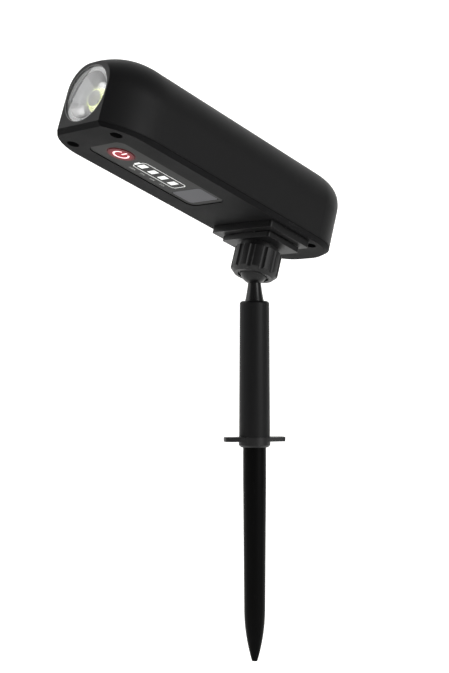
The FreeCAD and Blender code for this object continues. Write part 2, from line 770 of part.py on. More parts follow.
def power_button():
    body = new_body("power_button")
    lip = "cover_floor + 3 * running_gap"
    cap = "button_sink + button_cap_height"
    sketch = new_sketch(body, "XZ_Plane", shift_x="-button_setback")
    draw_outline(sketch, [
        ("0", "button_sink"), ("button_radius", "button_sink"), ("button_radius", cap),
        ("button_stem_radius", cap), ("button_stem_radius", lip), ("button_lip_radius", lip),
        ("button_lip_radius", f"{lip} + button_lip_height"), ("0", f"{lip} + button_lip_height"),
    ])
    revolve(body, sketch, "V_Axis")
    finish(body, "power_button", "head")
    plunger = rod("Z", "plunger_radius", "plunger_length", "-button_setback", "0",
                  f"{lip} + button_lip_height")
    finish(group([plunger], "switch_plunger"), "switch_plunger", "head")
    half = "switch_size / 2"
    lamps = []
    for side in ("", "-"):
        middle = f"{side}(switch_size / 2 + gauge_led_size)"
        lamps.append(box("-button_setback - gauge_led_size / 2", "-button_setback + gauge_led_size / 2",
                         f"{middle} - gauge_led_size / 2", f"{middle} + gauge_led_size / 2",
                         f"{BOARD_FACE} - gauge_led_height", BOARD_FACE))
    finish(group(lamps, "button_leds"), "button_leds", "head")
    case = box(f"-button_setback - {half}", f"-button_setback + {half}", minus(half), half,
               f"{BOARD_FACE} - switch_height", BOARD_FACE)
    bore = rod("Z", "plunger_radius + running_gap", "switch_height", "-button_setback", "0",
               f"{BOARD_FACE} - switch_height - running_gap * 8")
    finish(cut(case, [bore]), "power_switch", "head")


def battery_gauge():
    low = f"{BARS[3]} - gauge_bar_length / 2 - guide_margin"
    high = f"{BARS[0]} + gauge_bar_length / 2 + guide_margin"
    edge = "gauge_bar_width / 2 + guide_margin"
    pieces = [box(low, high, minus(edge), edge, "cover_floor", "cover_floor + guide_plate")]
    leds = []
    led_face = f"{BOARD_FACE} - gauge_led_height"
    for bar in BARS:
        pieces.append(box(f"{bar} - gauge_bar_length / 2", f"{bar} + gauge_bar_length / 2",
                          "-gauge_bar_width / 2", "gauge_bar_width / 2",
                          "panel_recess + running_gap", "cover_floor + guide_plate / 2"))
        pieces.append(rod("Z", "guide_post_radius",
                          f"{led_face} - cover_floor - guide_plate / 2 - fit_gap",
                          bar, "0", "cover_floor + guide_plate / 2"))
        leds.append(box(f"{bar} - gauge_led_size / 2", f"{bar} + gauge_led_size / 2",
                        "-gauge_led_size / 2", "gauge_led_size / 2", led_face, BOARD_FACE))
    finish(join(pieces, "light_guide"), "light_guide", "head")
    finish(group(leds, "gauge_leds"), "gauge_leds", "head")


def charging_port():
    body = new_body("port_cover")
    plate = new_sketch(body, "XY_Plane", "panel_recess - panel_thickness")
    draw_outline(plate, rounded("-flap_setback - flap_length", "-flap_setback",
                                "-flap_width / 2", "flap_width / 2", "flap_corner"))
    extrude(body, plate, "flap_thickness")
    finish(body, "port_cover", "head")

    middle = "(-flap_setback - flap_length / 2)"
    mouth = "panel_recess + running_gap * 2"
    case = box(f"{middle} - port_thickness / 2", f"{middle} + port_thickness / 2",
               "-port_width / 2", "port_width / 2", mouth, BOARD_FACE)
    hollow = box(f"{middle} - port_thickness / 2 + port_wall", f"{middle} + port_thickness / 2 - port_wall",
                 "-port_width / 2 + port_wall", "port_width / 2 - port_wall",
                 f"{mouth} - port_wall", f"{BOARD_FACE} - port_wall")
    tongue = box(f"{middle} - port_tongue / 2", f"{middle} + port_tongue / 2",
                 "-port_width / 2 + 3 * port_wall", "port_width / 2 - 3 * port_wall",
                 f"{mouth} + 2 * port_wall", f"{BOARD_FACE} - port_wall / 2")
    finish(join([cut(case, [hollow]), tongue], "charge_port"), "charge_port", "head")


def main_board():
    body = new_body("main_board")
    plate = new_sketch(body, "XY_Plane", BOARD_FACE)
    draw_outline(plate, rectangle("-board_setback - board_length", "-board_setback",
                                  "-board_width / 2", "board_width / 2"))
    for x, y in BOARD_SCREWS:
        draw_circle(plate, x, y, "board_screw_shank + fit_gap")
    extrude(body, plate, "board_thickness")
    # The charging chip, the driver chip, its coil and the battery's socket stand on the board.
    chips = new_sketch(body, "XY_Plane", BOARD_TOP)
    draw_outline(chips, rectangle(
        "-board_setback - board_length * 0.75", "-board_setback - board_length * 0.67",
        "-board_width * 0.08", "board_width * 0.08"))
    draw_outline(chips, rectangle(
        "-board_setback - board_length * 0.56", "-board_setback - board_length * 0.47",
        "board_width * 0.12", "board_width * 0.30"))
    extrude(body, chips, "board_thickness")
    coil = new_sketch(body, "XY_Plane", BOARD_TOP)
    draw_circle(coil, "-board_setback - board_length * 0.5", "-board_width * 0.2", "board_width * 0.1")
    extrude(body, coil, "board_thickness * 1.8")
    finish(body, "main_board", "head")
    screws = [headed("Z", ("board_screw_shank", "board_screw_length", "-board_screw_length"),
                     ("board_screw_head", "board_screw_head_height", "0"), x, y, BOARD_TOP)
              for x, y in BOARD_SCREWS]
    finish(group(screws, "board_screws"), "board_screws", "head")


# ------------------------------------------------------------------ battery
TRAY_FRONT = "(cell_setback - contact_thickness - fit_gap / 2 - tray_end_wall)"
TRAY_REAR = "(cell_setback + cell_length + contact_thickness + fit_gap / 2 + tray_end_wall)"
CELL_HEIGHT = "(tray_low_side + tray_floor + cell_radius + fit_gap)"


def battery():
    block = box(minus(TRAY_REAR), minus(TRAY_FRONT), "-tray_width / 2", "tray_width / 2",
                "tray_low_side", "tray_low_side + tray_side_height")
    channels = [rod("X", "cell_radius + fit_gap", f"{TRAY_REAR} - {TRAY_FRONT} - 2 * tray_end_wall",
                    f"-{TRAY_REAR} + tray_end_wall", f"{side}cell_spread", CELL_HEIGHT)
                for side in ("", "-")]
    pieces = [cut(block, channels)]
    for low, high in ((minus(TRAY_REAR), f"-{TRAY_REAR} + tray_end_wall"),
                      (f"-{TRAY_FRONT} - tray_end_wall", minus(TRAY_FRONT))):
        pieces.append(box(low, high, "-tray_width / 2", "tray_width / 2",
                          "tray_low_side", "tray_low_side + tray_end_height"))
    wall, leg = "tray_width / 2 - tray_end_wall", "tray_width / 2 + tray_leg_width"
    for start in (f"-{TRAY_REAR} + 2 * tray_leg_length", f"-{TRAY_FRONT} - 2 * tray_leg_length"):
        for low, high in ((wall, leg), (minus(leg), minus(wall))):
            pieces.append(box(start, f"{start} + tray_leg_length", low, high,
                              "tray_low_side", "tray_low_side + 2 * tray_floor"))
        for low, high in (("tray_width / 2 + fit_gap", leg), (minus(leg), "-tray_width / 2 - fit_gap")):
            pieces.append(box(start, f"{start} + tray_leg_length", low, high,
                              "cover_floor", "tray_low_side + tray_floor"))
    finish(join(pieces, "battery_tray"), "battery_tray", "head")

    cells, contacts, leads = [], [], []
    tip = "tray_end_wall"
    for side in ("", "-"):
        spread = f"{side}cell_spread"
        can = rod("X", "cell_radius", f"cell_length - {tip}", "-cell_setback - cell_length",
                  spread, CELL_HEIGHT)
        nub = rod("X", "cell_radius / 3", f"2 * {tip}", f"-cell_setback - 2 * {tip}", spread, CELL_HEIGHT)
        cells.append(join([can, nub]))
        for start in ("-cell_setback + fit_gap / 2",
                      "-cell_setback - cell_length - fit_gap / 2 - contact_thickness"):
            contacts.append(box(start, f"{start} + contact_thickness", f"{spread} - contact_size / 2",
                                f"{spread} + contact_size / 2", f"{CELL_HEIGHT} - contact_size / 2",
                                f"{CELL_HEIGHT} + contact_size / 2"))
        leads.append(rod("Z", "lead_radius", f"{CELL_HEIGHT} - {BOARD_TOP}",
                         f"-{TRAY_FRONT} + lead_radius + running_gap", spread, f"{BOARD_TOP} + running_gap"))
    finish(group(cells, "battery_cells"), "battery_cells", "head")
    finish(group(contacts, "battery_contacts"), "battery_contacts", "head")
    finish(group(leads, "battery_leads"), "battery_leads", "head")

    inside, outside = "tray_width / 2 + fit_gap", "tray_width / 2 + fit_gap + strap_thickness"
    roof = f"{CELL_HEIGHT} + cell_radius + fit_gap"
    foot = "tray_low_side + tray_side_height / 2"
    middle = f"(-({TRAY_FRONT} + {TRAY_REAR}) / 2)"
    low, high = f"{middle} - strap_width / 2", f"{middle} + strap_width / 2"
    hoop = box(low, high, minus(outside), outside, foot, f"{roof} + strap_thickness")
    room = box(f"{low} - strap_thickness", f"{high} + strap_thickness", minus(inside), inside,
               f"{foot} - strap_thickness", roof)
    finish(cut(hoop, [room], "cell_strap"), "cell_strap", "head")


# ------------------------------------------------------------------ slide rail and its shoe
def slide_rail():
    body = new_body("slide_rail")
    block = new_sketch(body, "XY_Plane")
    draw_outline(block, rounded(minus(RAIL_REAR), minus(RAIL_FRONT),
                                "-rail_width / 2", "rail_width / 2", "shoe_corner"))
    extrude(body, block, "rail_height", backwards=True)
    # The tee slot is open at the rear and stops the shoe at the front.
    for width, top, depth in (("slot_head_width", "0", "slot_head_height"),
                              ("slot_neck_width", "-slot_head_height", "rail_height")):
        slot = new_sketch(body, "XY_Plane", top)
        draw_outline(slot, rectangle(f"-{RAIL_REAR} - slide_gap", f"-{RAIL_FRONT} - rail_end_wall",
                                     f"-{width} / 2", f"{width} / 2"))
        extrude(body, slot, depth, cut=True, backwards=True)
    bores = new_sketch(body, "XY_Plane")
    for x, y in RAIL_SCREWS:
        draw_circle(bores, x, y, "rail_screw_shank + running_gap")
    extrude(body, bores, "rail_screw_bite + fit_gap", cut=True, backwards=True)
    finish(body, "slide_rail", "head")
    screws = [headed("Z", ("rail_screw_shank", "rail_screw_bite + cover_floor",
                           "-rail_screw_bite - cover_floor"),
                     ("rail_screw_head", "rail_screw_head_height", "0"), x, y, "cover_floor")
              for x, y in RAIL_SCREWS]
    finish(group(screws, "rail_screws"), "rail_screws", "head")


RUNNING_BALL = "(ball_radius + running_gap)"
CUP_RADIUS = "(ball_radius + liner_thickness + 2 * running_gap)"
PLATE_LOW = "(ball_drop - rail_height - shoe_gap - shoe_plate)"


def slide_shoe():
    """Drawn about the ball's centre: tee tongue, plate, and a socket split into spring fingers."""
    body = new_body("slide_shoe")
    half = "shoe_length / 2"
    plate = new_sketch(body, "XY_Plane", PLATE_LOW)
    draw_outline(plate, rounded(minus(half), half, "-shoe_width / 2", "shoe_width / 2", "shoe_corner"))
    extrude(body, plate, "shoe_plate")
    neck_top = "ball_drop - slot_head_height + slide_gap"
    for width, low, height in (
            ("slot_neck_width", f"{PLATE_LOW} + shoe_plate", f"{neck_top} - {PLATE_LOW} - shoe_plate"),
            ("slot_head_width", neck_top, "slot_head_height - 2 * slide_gap")):
        tongue = new_sketch(body, "XY_Plane", low)
        side = f"{width} / 2 - slide_gap"
        draw_outline(tongue, rectangle(minus(half), half, minus(side), side))
        extrude(body, tongue, height)

    lip_inner = f"sqrt({RUNNING_BALL} ^ 2 - lip_drop ^ 2)"
    socket = new_sketch(body, "XZ_Plane")
    draw_outline(socket, [
        ("0", "-lip_drop"), (f"{lip_inner} + lip_wall", "-lip_drop"), ("socket_radius", "socket_taper_start"),
        ("socket_radius", PLATE_LOW), ("0", PLATE_LOW),
    ])
    revolve(body, socket, "V_Axis")
    cup = new_sketch(body, "XZ_Plane")
    draw_outline(cup, [
        ("0", "-lip_drop"), (lip_inner, "-lip_drop", RUNNING_BALL),
        (f"{RUNNING_BALL} * sin(cup_step_angle)", f"{RUNNING_BALL} * cos(cup_step_angle)"),
        (f"{CUP_RADIUS} * sin(cup_step_angle)", f"{CUP_RADIUS} * cos(cup_step_angle)", CUP_RADIUS),
        ("0", CUP_RADIUS),
    ])
    revolve(body, cup, "V_Axis", cut=True)
    gap = new_sketch(body, "XZ_Plane", "-finger_slot_width / 2")
    draw_outline(gap, rectangle("ball_radius / 2", "socket_radius + lip_wall",
                                "-lip_drop - lip_wall", "finger_slot_top"))
    slot = extrude(body, gap, "finger_slot_width", cut=True)
    repeat_round(body, slot, "finger_count")
    finish(body, "slide_shoe", "socket")


def lock_nut():
    body = new_body("lock_nut")
    bore = "socket_radius + running_gap"
    seat = f"sqrt({RUNNING_BALL} ^ 2 - lip_drop ^ 2) + lip_wall + nut_seat_gap"
    ring = new_sketch(body, "XZ_Plane")
    draw_outline(ring, [
        ("nut_mouth_radius", "-nut_drop"), ("nut_radius - nut_chamfer", "-nut_drop"),
        ("nut_radius", "nut_chamfer - nut_drop"), ("nut_radius", "nut_rise"), (bore, "nut_rise"),
        (bore, "socket_taper_start"), (seat, "-lip_drop - nut_seat_gap"),
        ("nut_mouth_radius", "-lip_drop - nut_seat_gap"),
    ])
    revolve(body, ring, "V_Axis")
    groove = new_sketch(body, "XY_Plane", "-nut_drop - nut_chamfer")
    draw_circle(groove, "nut_radius + flute_radius - flute_depth", "0", "flute_radius")
    flute = extrude(body, groove, "nut_rise + nut_drop + 2 * nut_chamfer", cut=True)
    repeat_round(body, flute, "flute_count")
    finish(body, "lock_nut", "socket")


def ball_liner():
    body = new_body("ball_liner")
    outer = "(ball_radius + running_gap + liner_thickness)"
    cap = new_sketch(body, "XZ_Plane")
    draw_outline(cap, [
        ("0", RUNNING_BALL, f"hollow:{RUNNING_BALL}"),
        (f"{RUNNING_BALL} * sin(liner_half_angle)", f"{RUNNING_BALL} * cos(liner_half_angle)"),
        (f"{outer} * sin(liner_half_angle)", f"{outer} * cos(liner_half_angle)", outer),
        ("0", outer),
    ])
    revolve(body, cap, "V_Axis")
    finish(body, "ball_liner", "socket")


# ------------------------------------------------------------------ stud, pole, flange, spike
def turned_upright(label, corners, cuts=()):
    """A piece turned about the spike's axis, from an outline of (radius, height)."""
    body = new_body(label)
    for outline, is_cut in [(corners, False)] + [(hollow, True) for hollow in cuts]:
        sketch = new_sketch(body, "XZ_Plane")
        draw_outline(sketch, outline)
        revolve(body, sketch, "V_Axis", is_cut)
    return body


def ball_stud():
    groove = "stud_shank_radius - clip_groove_depth"
    roof = "pole_height - pole_top_wall"
    foot = "pole_height + running_gap"
    top = "ball_height - sqrt(ball_radius ^ 2 - neck_top_radius ^ 2)"
    low = f"{roof} - clip_thickness - 2 * running_gap"
    stud = turned_upright("ball_stud", [
        ("0", "pole_height - stud_shank_length"), ("stud_shank_radius", "pole_height - stud_shank_length"),
        ("stud_shank_radius", low), (groove, low), (groove, roof), ("stud_shank_radius", roof),
        ("stud_shank_radius", foot), ("neck_foot_radius", foot, "hollow:neck_curve_radius"),
        ("neck_top_radius", top, "ball_radius"), ("0", "ball_height + ball_radius"),
    ])
    finish(stud, "ball_stud")
    clip = turned_upright("stud_clip", rectangle(
        f"{groove} + running_gap", "clip_radius", f"{low} + running_gap", f"{roof} - running_gap"))
    finish(clip, "stud_clip")


def pole_tube():
    inside_top = "pole_top_radius - pole_wall"
    inside_foot = "pole_foot_radius - pole_wall"
    roof = "pole_height - pole_top_wall"
    bore = "stud_shank_radius + running_gap"
    tube = turned_upright("pole_tube", [
        (inside_foot, "flange_thickness"), ("pole_foot_radius", "flange_thickness"),
        ("pole_top_radius", "pole_height - pole_shoulder", "pole_shoulder"),
        ("pole_top_radius - pole_shoulder", "pole_height"), (bore, "pole_height"), (bore, roof),
        (inside_top, roof),
    ])
    finish(tube, "pole_tube")


def ground_flange():
    bore = "spike_spigot_radius + running_gap"
    chamfer = "hub_radius - collar_chamfer"
    hub = turned_upright("ground_flange", [
        ("0", "-collar_height"), (chamfer, "-collar_height"),
        ("hub_radius", "collar_chamfer - collar_height"),
        ("hub_radius", "flange_thickness"), ("hub_spigot_radius", "flange_thickness"),
        ("hub_spigot_radius", "flange_thickness + hub_spigot_height"),
        ("0", "flange_thickness + hub_spigot_height"),
    ])
    tip, end = "flange_tip_radius", "(flange_span / 2)"
    half = "(flange_tip_width / 2)"
    tabs = new_sketch(hub, "XY_Plane")
    draw_outline(tabs, [
        (f"{end} - {tip}", minus(half), tip), (end, f"{tip} - {half}"), (end, f"{half} - {tip}", tip),
        (f"{end} - {tip}", half), ("0", "flange_root_width / 2"), (f"{tip} - {end}", half, tip),
        (minus(end), f"{half} - {tip}"), (minus(end), f"{tip} - {half}", tip),
        (f"{tip} - {end}", minus(half)), ("0", "-flange_root_width / 2"),
    ])
    extrude(hub, tabs, "flange_thickness")
    socket = new_sketch(hub, "XZ_Plane")
    draw_outline(socket, rectangle(
        "0", bore, "-collar_height", "spike_spigot_height - collar_height + fit_gap"))
    revolve(hub, socket, "V_Axis", cut=True)
    finish(hub, "ground_flange", "flange")


def spike():
    shoulder = "-collar_height"
    parallel = "-collar_height - spike_parallel"
    body = turned_upright("spike", [
        ("0", "-spike_depth"), ("spike_tip_radius", "-spike_depth", "spike_ogive_radius"),
        ("spike_waist_radius", "-spike_waist_depth"), ("spike_radius", parallel),
        ("spike_radius", shoulder), ("spike_spigot_radius", shoulder),
        ("spike_spigot_radius", "spike_spigot_height - collar_height"),
        ("0", "spike_spigot_height - collar_height"),
    ])
    finish(body, "spike")


for build in (upper_shell, base_cover, cover_gasket, cover_screws, lens_group, heat_sink, control_panel,
              power_button, battery_gauge, charging_port, main_board, battery, slide_rail, slide_shoe,
              lock_nut, ball_liner, ball_stud, pole_tube, ground_flange, spike):
    build()
doc.recompute()

for item in doc.Objects:
    if "Invalid" in item.State or "Error" in item.State:
        raise RuntimeError(f"{item.Label} ({item.Name}) did not build: {item.State}")
os.makedirs("parts", exist_ok=True)
for part in parts:
    if part.Shape.isNull() or not part.Shape.isValid() or not part.Shape.Solids:
        raise RuntimeError(f"{part.Label} has no valid solid")
for part in parts:
    part.Shape.exportStep(f"parts/{part.Label}.step")
    print(part.Label, len(part.Shape.Solids), round(part.Shape.Volume, 1))
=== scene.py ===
import json
import math

import bmesh
import bpy
import numpy as np
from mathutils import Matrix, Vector


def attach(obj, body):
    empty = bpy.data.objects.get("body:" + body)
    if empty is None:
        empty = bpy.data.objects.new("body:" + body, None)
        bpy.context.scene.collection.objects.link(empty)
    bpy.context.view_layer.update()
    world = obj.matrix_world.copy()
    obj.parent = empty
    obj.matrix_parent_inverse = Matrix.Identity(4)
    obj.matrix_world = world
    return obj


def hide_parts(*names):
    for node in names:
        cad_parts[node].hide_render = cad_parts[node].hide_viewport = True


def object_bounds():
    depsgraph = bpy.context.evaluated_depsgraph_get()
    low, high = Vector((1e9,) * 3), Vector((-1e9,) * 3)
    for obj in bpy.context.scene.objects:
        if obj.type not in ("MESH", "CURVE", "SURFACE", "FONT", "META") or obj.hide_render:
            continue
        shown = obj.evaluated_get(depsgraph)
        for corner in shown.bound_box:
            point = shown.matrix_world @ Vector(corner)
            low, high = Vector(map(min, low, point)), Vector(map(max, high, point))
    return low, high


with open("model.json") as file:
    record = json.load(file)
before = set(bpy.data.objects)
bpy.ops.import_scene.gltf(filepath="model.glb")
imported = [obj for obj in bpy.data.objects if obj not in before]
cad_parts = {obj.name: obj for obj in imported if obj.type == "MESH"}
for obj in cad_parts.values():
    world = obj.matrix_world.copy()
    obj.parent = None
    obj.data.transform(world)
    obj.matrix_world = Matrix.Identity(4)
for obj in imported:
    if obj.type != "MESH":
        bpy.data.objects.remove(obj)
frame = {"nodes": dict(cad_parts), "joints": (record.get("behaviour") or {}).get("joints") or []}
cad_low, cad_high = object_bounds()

# Garden spike spotlight, in metres: +Z up the spike and the pole, +X the way the beam points, +Y
# the lamp's left side, and the origin on the spike's axis at the underside of the ground flange.

# ------------------------------------------------------------------ spike and ground flange
# The spike is injection-moulded black ABS that runs out to a point. The flange above it is a
# second moulding, pushed over the spike's spigot. Its two tabs stop the light at the soil.
MM = 0.001
FLOW_PATCH = 30 * MM
FIRST_COLOUR, SECOND_COLOUR, MIXED = 6, 7, 2  # a Mix node's colour sockets


def linear(colour):
    """An sRGB hex colour as linear red, green and blue, with an alpha of 1."""
    shares = [int(colour[i:i + 2], 16) / 255 for i in (1, 3, 5)]
    return tuple(s / 12.92 if s <= 0.04045 else ((s + 0.055) / 1.055) ** 2.4
                 for s in shares) + (1.0,)


def add(tree, kind, inputs=None, **settings):
    """Adds a node. An input is a value, or another node's output to link from."""
    made = tree.nodes.new(kind)
    for name, value in settings.items():
        setattr(made, name, value)
    for name, value in (inputs or {}).items():
        if isinstance(value, bpy.types.NodeSocket):
            tree.links.new(value, made.inputs[name])
        else:
            made.inputs[name].default_value = value
    return made


def new_material(name, **fixed):
    """A material with its shader's own sockets set, then its node tree, its shader and its Object
    coordinates."""
    material = bpy.data.materials.new(name)
    material.use_nodes = True
    tree = material.node_tree
    shader = tree.nodes["Principled BSDF"]
    for socket, value in fixed.items():
        shader.inputs[socket.replace("_", " ")].default_value = value
    place = add(tree, "ShaderNodeTexCoord").outputs["Object"]
    return material, tree, shader, place


def vary(tree, shader, pattern, dark, pale, gloss=None, rough=None, lit=False):
    """Lets a noise pattern take the colour from dark to pale and, where they are given, the
    roughness from gloss to rough. Noise seldom leaves 0.3 to 0.7, so that range is stretched to
    the whole of the roughness's. What is lit shines in the same colours."""
    tone = add(tree, "ShaderNodeMix", {"Factor": pattern, FIRST_COLOUR: linear(dark),
                                       SECOND_COLOUR: linear(pale)}, data_type="RGBA")
    tree.links.new(tone.outputs[MIXED], shader.inputs["Base Color"])
    if lit:
        tree.links.new(tone.outputs[MIXED], shader.inputs["Emission Color"])
    if rough is not None:
        sheen = add(tree, "ShaderNodeMapRange", {"Value": pattern, "From Min": 0.3, "From Max": 0.7,
                                                 "To Min": gloss, "To Max": rough})
        tree.links.new(sheen.outputs["Result"], shader.inputs["Roughness"])


def moulded(name, dark, pale, gloss, rough, grain, depth, shine=0.4, edge=0.0):
    """A material for plastic or rubber from a steel tool. Its colour and roughness drift over
    FLOW_PATCH, under a grain of the given width and depth in millimetres. The tool's own grain is
    about 0.1 mm, too fine to show, so it is drawn coarser. Shine is the share of full gloss that
    the fine grain leaves, and edge the millimetres over which the light rolls round a corner."""
    material, tree, shader, place = new_material(name, IOR=1.53, Specular_IOR_Level=shine)
    drift = add(tree, "ShaderNodeTexNoise", {"Vector": place, "Scale": 1 / FLOW_PATCH,
                                             "Detail": 3.0})
    vary(tree, shader, drift.outputs["Fac"], dark, pale, gloss, rough)
    etch = add(tree, "ShaderNodeTexNoise", {"Vector": place, "Scale": 1 / (grain * MM),
                                            "Detail": 2.0})
    bump = add(tree, "ShaderNodeBump", {"Height": etch.outputs["Fac"], "Distance": depth * MM,
                                        "Strength": 1.0})
    if edge:
        rounded = add(tree, "ShaderNodeBevel", {"Radius": edge * MM}, samples=4)
        tree.links.new(rounded.outputs["Normal"], bump.inputs["Normal"])
    tree.links.new(bump.outputs["Normal"], shader.inputs["Normal"])
    return material


def dress(nodes, material):
    """Gives each of the named CAD nodes one material."""
    for name in nodes:
        frame["nodes"][name].data.materials.clear()
        frame["nodes"][name].data.materials.append(material)


# A polished tool leaves the spike the darkest and smoothest of the plastic pieces.
dress(["spike"], moulded("polished_black_abs", "#020202", "#050505", gloss=0.30, rough=0.38,
                         grain=0.8, depth=0.01, shine=0.04))
# The flange comes from a duller tool, so it is greyer and its edges catch a soft line of light.
dress(["ground_flange"], moulded("satin_grey_black_abs", "#0c0c0d", "#121213", gloss=0.40,
                                 rough=0.50, grain=0.8, depth=0.01, shine=0.25, edge=0.3))

# ------------------------------------------------------------------ pole
# The pole is a long thin-walled ABS moulding, a little wider at its foot so that it draws from
# the tool. Its foot is pushed over the flange's own spigot, and its closed top has the stud's bore.
DRAW_LINE = 1.2 * MM
LINE_DEPTH = 0.01 * MM
LINE_STRETCH = 50.0

# Drawing it from the tool leaves faint lines along it, which give its highlight a silky grain.
# Real ones are some 0.2 mm apart, too fine to show, so they are drawn wider.
lined_abs, tree, shader, place = new_material("draw_lined_black_abs", IOR=1.53,
                                              Specular_IOR_Level=0.14)
stretched = add(tree, "ShaderNodeMapping", {"Vector": place, "Scale": (1.0, 1.0, 1 / LINE_STRETCH)})
lines = add(tree, "ShaderNodeTexNoise", {"Vector": stretched.outputs["Vector"],
                                         "Scale": 1 / DRAW_LINE, "Detail": 2.0})
vary(tree, shader, lines.outputs["Fac"], "#080809", "#0e0e0f", gloss=0.42, rough=0.52)
ridges = add(tree, "ShaderNodeBump", {"Height": lines.outputs["Fac"], "Distance": LINE_DEPTH,
                                      "Strength": 1.0})
tree.links.new(ridges.outputs["Normal"], shader.inputs["Normal"])
dress(["pole_tube"], lined_abs)

# ------------------------------------------------------------------ ball stud and clip
# The ball and its flared neck are one acetal moulding, whose shank turns in the pole's top. A
# zinc-plated spring clip in a groove of the shank keeps it there.

# Acetal is dense and slightly waxy, which keeps a soft narrow highlight down the neck.
dress(["ball_stud"], moulded("smooth_black_acetal", "#070707", "#0b0b0c", gloss=0.28, rough=0.36,
                             grain=1.0, depth=0.006, shine=0.25))


def rolled_metal(name, dark, pale, gloss, rough, streak):
    """A material for bare metal whose colour and roughness follow short wavy streaks, left by
    rolling or turning, of the given length in millimetres."""
    material, tree, shader, place = new_material(name, Metallic=1.0)
    streaks = add(tree, "ShaderNodeTexNoise", {"Vector": place, "Scale": 1 / (streak * MM),
                                               "Detail": 4.0, "Distortion": 0.4})
    vary(tree, shader, streaks.outputs["Fac"], dark, pale, gloss, rough)
    return material


# Zinc plate is a cool pale grey, a little cloudy.
zinc_steel = rolled_metal("zinc_plated_steel", "#9d9ea0", "#b9babc", gloss=0.28, rough=0.42,
                          streak=0.9)
dress(["stud_clip"], zinc_steel)

# ------------------------------------------------------------------ ball socket, lock nut, rail
# The shoe's split socket grips the ball through a rubber liner when the fluted nut squeezes it.
# The shoe slides in a tee-slotted rail that four screws hold under the head. Nut, shoe and rail
# are moulded ABS.

# A spark-eroded tool leaves a fine matt grain, so flutes and steps show as soft greys.
dress(["lock_nut", "slide_shoe", "slide_rail"],
      moulded("spark_eroded_black_abs", "#080808", "#0c0c0d", gloss=0.40, rough=0.48, grain=0.7,
              depth=0.02, shine=0.28, edge=0.25))
dress(["rail_screws"], zinc_steel)
# Hard rubber hardly shines, so the liner and the seals stay dark in their gaps.
hard_rubber = moulded("hard_black_rubber", "#080808", "#0e0e0e", gloss=0.60, rough=0.70, grain=0.6,
                      depth=0.01, shine=0.25)
dress(["ball_liner"], hard_rubber)

# ------------------------------------------------------------------ shell and base cover
# The head's two housings are moulded ABS. The arched shell stands on the flat cover, with a
# rubber gasket in the seam, and the four cover screws hold them together.

# A satin grain all over the shell keeps its highlights broad and soft.
dress(["upper_shell"], moulded("satin_black_abs", "#060607", "#0a0a0b", gloss=0.50, rough=0.58,
                               grain=0.8, depth=0.02, shine=0.19))
# A rougher etch makes the underside matt, a flat dark grey with no highlight.
dress(["base_cover"], moulded("matt_black_abs", "#080809", "#0c0c0d", gloss=0.62, rough=0.70,
                              grain=0.8, depth=0.02, shine=0.08))
dress(["cover_gasket"], hard_rubber)

# ------------------------------------------------------------------ control panel and button
# A plate of smoked acrylic, printed from behind, lies in a recess of the cover. The round button
# of the same acrylic moves in an opening of the plate, with two red lamps above it.
BUTTON_X = -31.6  # in the head's millimetres, as from_head reads them
HINGE_IN_HEAD = np.array([-95.8, 0.0, 0.4]) * MM  # where the port's flap turns
GLOW_CORE, GLOW_REACH = 2.0 * MM, 9.5 * MM
CLOUD = 12 * MM
joints = {joint["name"]: joint for joint in frame["joints"]}
BEAM = np.array(joints["head_slide"]["axis"], float)
UP = np.array(joints["button_press"]["axis"], float)
LEFT = np.array([0.0, 1.0, 0.0])
HEAD_ORIGIN = (np.array(joints["port_flap"]["pos_m"])
               - HINGE_IN_HEAD[0] * BEAM - HINGE_IN_HEAD[2] * UP)


def from_head(points):
    """Points in the head's own axes, in millimetres, as points of the frame. The head's origin is
    the bottom centre of its front face, x along the beam, y left, z square to the underside."""
    points = np.asarray(points, float) * MM
    return HEAD_ORIGIN + points[..., :1] * BEAM + points[..., 1:2] * LEFT + points[..., 2:] * UP


def smoked_acrylic(name, dark, pale, glow, strength):
    """A material for smoked acrylic, with a red glow that fades with the distance from the
    button's centre."""
    material, tree, shader, place = new_material(
        name, IOR=1.49, Specular_IOR_Level=0.08, Roughness=0.42, Emission_Color=linear(glow))
    cloud = add(tree, "ShaderNodeTexNoise", {"Vector": place, "Scale": 1 / CLOUD, "Detail": 3.0})
    vary(tree, shader, cloud.outputs["Fac"], dark, pale)
    centre = from_head([BUTTON_X, 0.0, 0.0])
    away = add(tree, "ShaderNodeVectorMath", {0: place, 1: tuple(centre)}, operation="DISTANCE")
    fade = add(tree, "ShaderNodeMapRange", {"Value": away.outputs["Value"], "From Min": GLOW_CORE,
                                            "From Max": GLOW_REACH, "To Min": strength,
                                            "To Max": 0.0}, interpolation_type="SMOOTHSTEP")
    tree.links.new(fade.outputs["Result"], shader.inputs["Emission Strength"])
    return material


# The smoke tint makes both a warm dark grey, a shade paler than the cover, and the lamps' red
# spreads in it round the button.
dress(["control_panel"],
      smoked_acrylic("smoked_acrylic_panel", "#161616", "#1c1c1b", glow="#c01428", strength=0.5))
dress(["power_button"],
      smoked_acrylic("smoked_acrylic_button", "#161616", "#1a1a1a", glow="#d81c36", strength=0.55))

